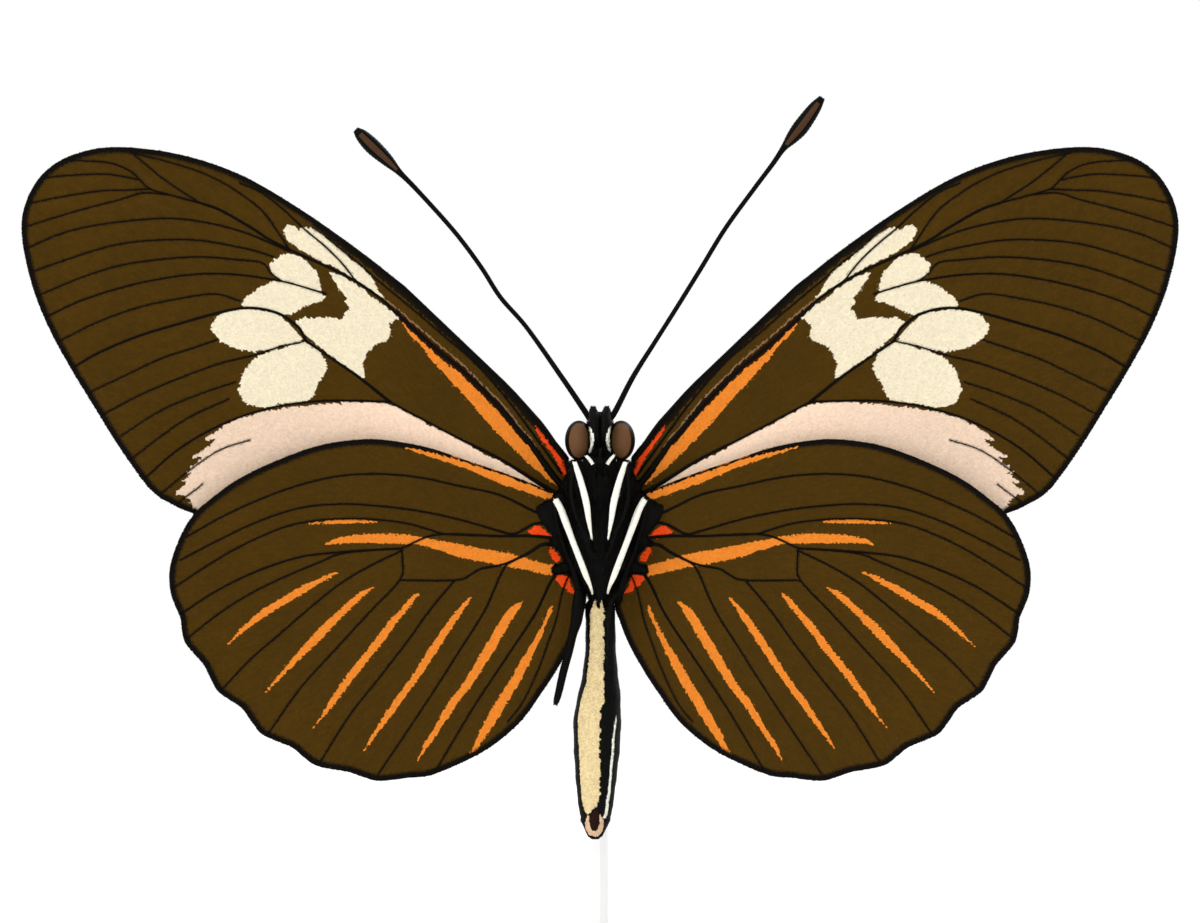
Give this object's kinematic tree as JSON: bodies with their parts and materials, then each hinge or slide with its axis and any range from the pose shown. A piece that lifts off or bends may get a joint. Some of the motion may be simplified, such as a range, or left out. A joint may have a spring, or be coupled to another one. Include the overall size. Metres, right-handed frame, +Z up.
{
  "type": "postman butterfly model on a display stand",
  "caption": "Life-size still model of a postman butterfly, wings spread flat with the underside forward, held upright by a thin rod on a round base.",
  "frame": {"origin": "middle of the underside of the stand's round base, on the surface that it stands on", "axes": "+Z up, towards the butterfly's head; +X towards the butterfly's left wing tip; -Y towards the viewer, who sees the butterfly's underside"},
  "size_m": [0.072, 0.026, 0.0552],
  "materials": {
    "body_hair": "short black hair and scales with white stripes",
    "abdomen_scales": "black scales with a cream band below and a white line on the side",
    "wing_scales": "matt brown scales with cream patches, a pink patch, orange rays and red spots at the base",
    "eye": "brown compound eye with fine facets",
    "feeler": "black shaft with a brown club",
    "leg": "black with a white line on the thigh",
    "stand_base": "satin white",
    "stand_rod": "fine drawn steel"
  },
  "bodies": {
    "root": {"head": "body_hair", "thorax": "body_hair", "abdomen": "abdomen_scales", "eye_left": "eye", "eye_right": "eye", "palp_left": "body_hair", "palp_right": "body_hair", "proboscis": "feeler", "antenna_left": "feeler", "antenna_right": "feeler", "foreleg_left": "leg", "foreleg_right": "leg", "midleg_left": "leg", "midleg_right": "leg", "hindleg_left": "leg", "hindleg_right": "leg", "forewing_left": "wing_scales", "forewing_right": "wing_scales", "hindwing_left": "wing_scales", "hindwing_right": "wing_scales", "stand_base": "stand_base", "stand_rod": "stand_rod"}
  },
  "joints": []
}
